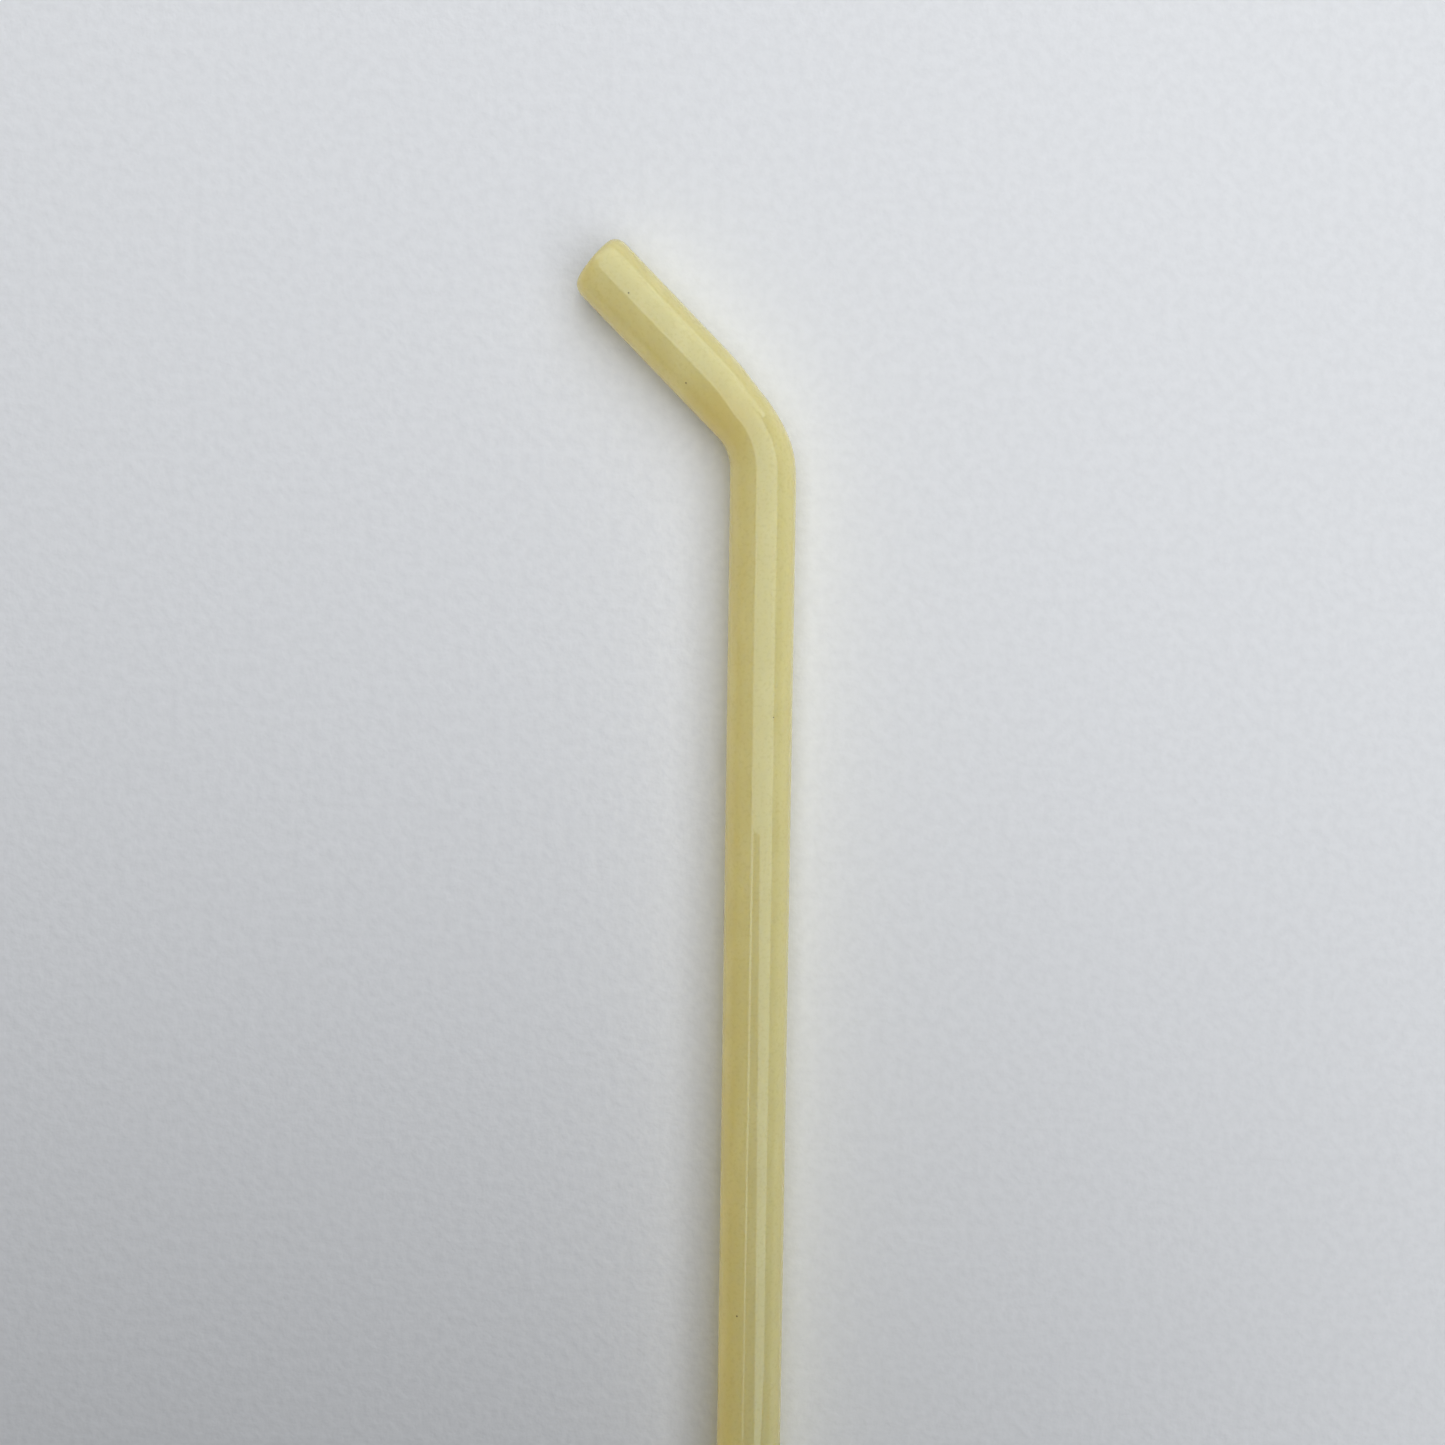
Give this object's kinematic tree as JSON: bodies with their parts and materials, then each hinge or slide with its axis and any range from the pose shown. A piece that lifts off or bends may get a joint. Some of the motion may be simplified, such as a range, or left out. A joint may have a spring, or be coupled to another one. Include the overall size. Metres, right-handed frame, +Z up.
{
  "type": "drinking straw",
  "caption": "Bent drinking straw of opaque ivory-yellow glass: a round tube with a long arm, a smooth 45 degree bend, a short mouth arm, and both rims melted round.",
  "frame": {"origin": "middle of the underside: the centre of the plan box, on the surface that the straw lies on", "axes": "+Y along the long arm, from its lower end towards the bend; the mouth arm turns towards -X; +Z up, square to the plane of the bend"},
  "size_m": [0.0316, 0.1964, 0.0095],
  "materials": {
    "opal_glass": "opaque ivory-yellow opal glass with a smooth, fire-polished gloss"
  },
  "bodies": {
    "root": {"straw_tube": "opal_glass"}
  },
  "joints": []
}
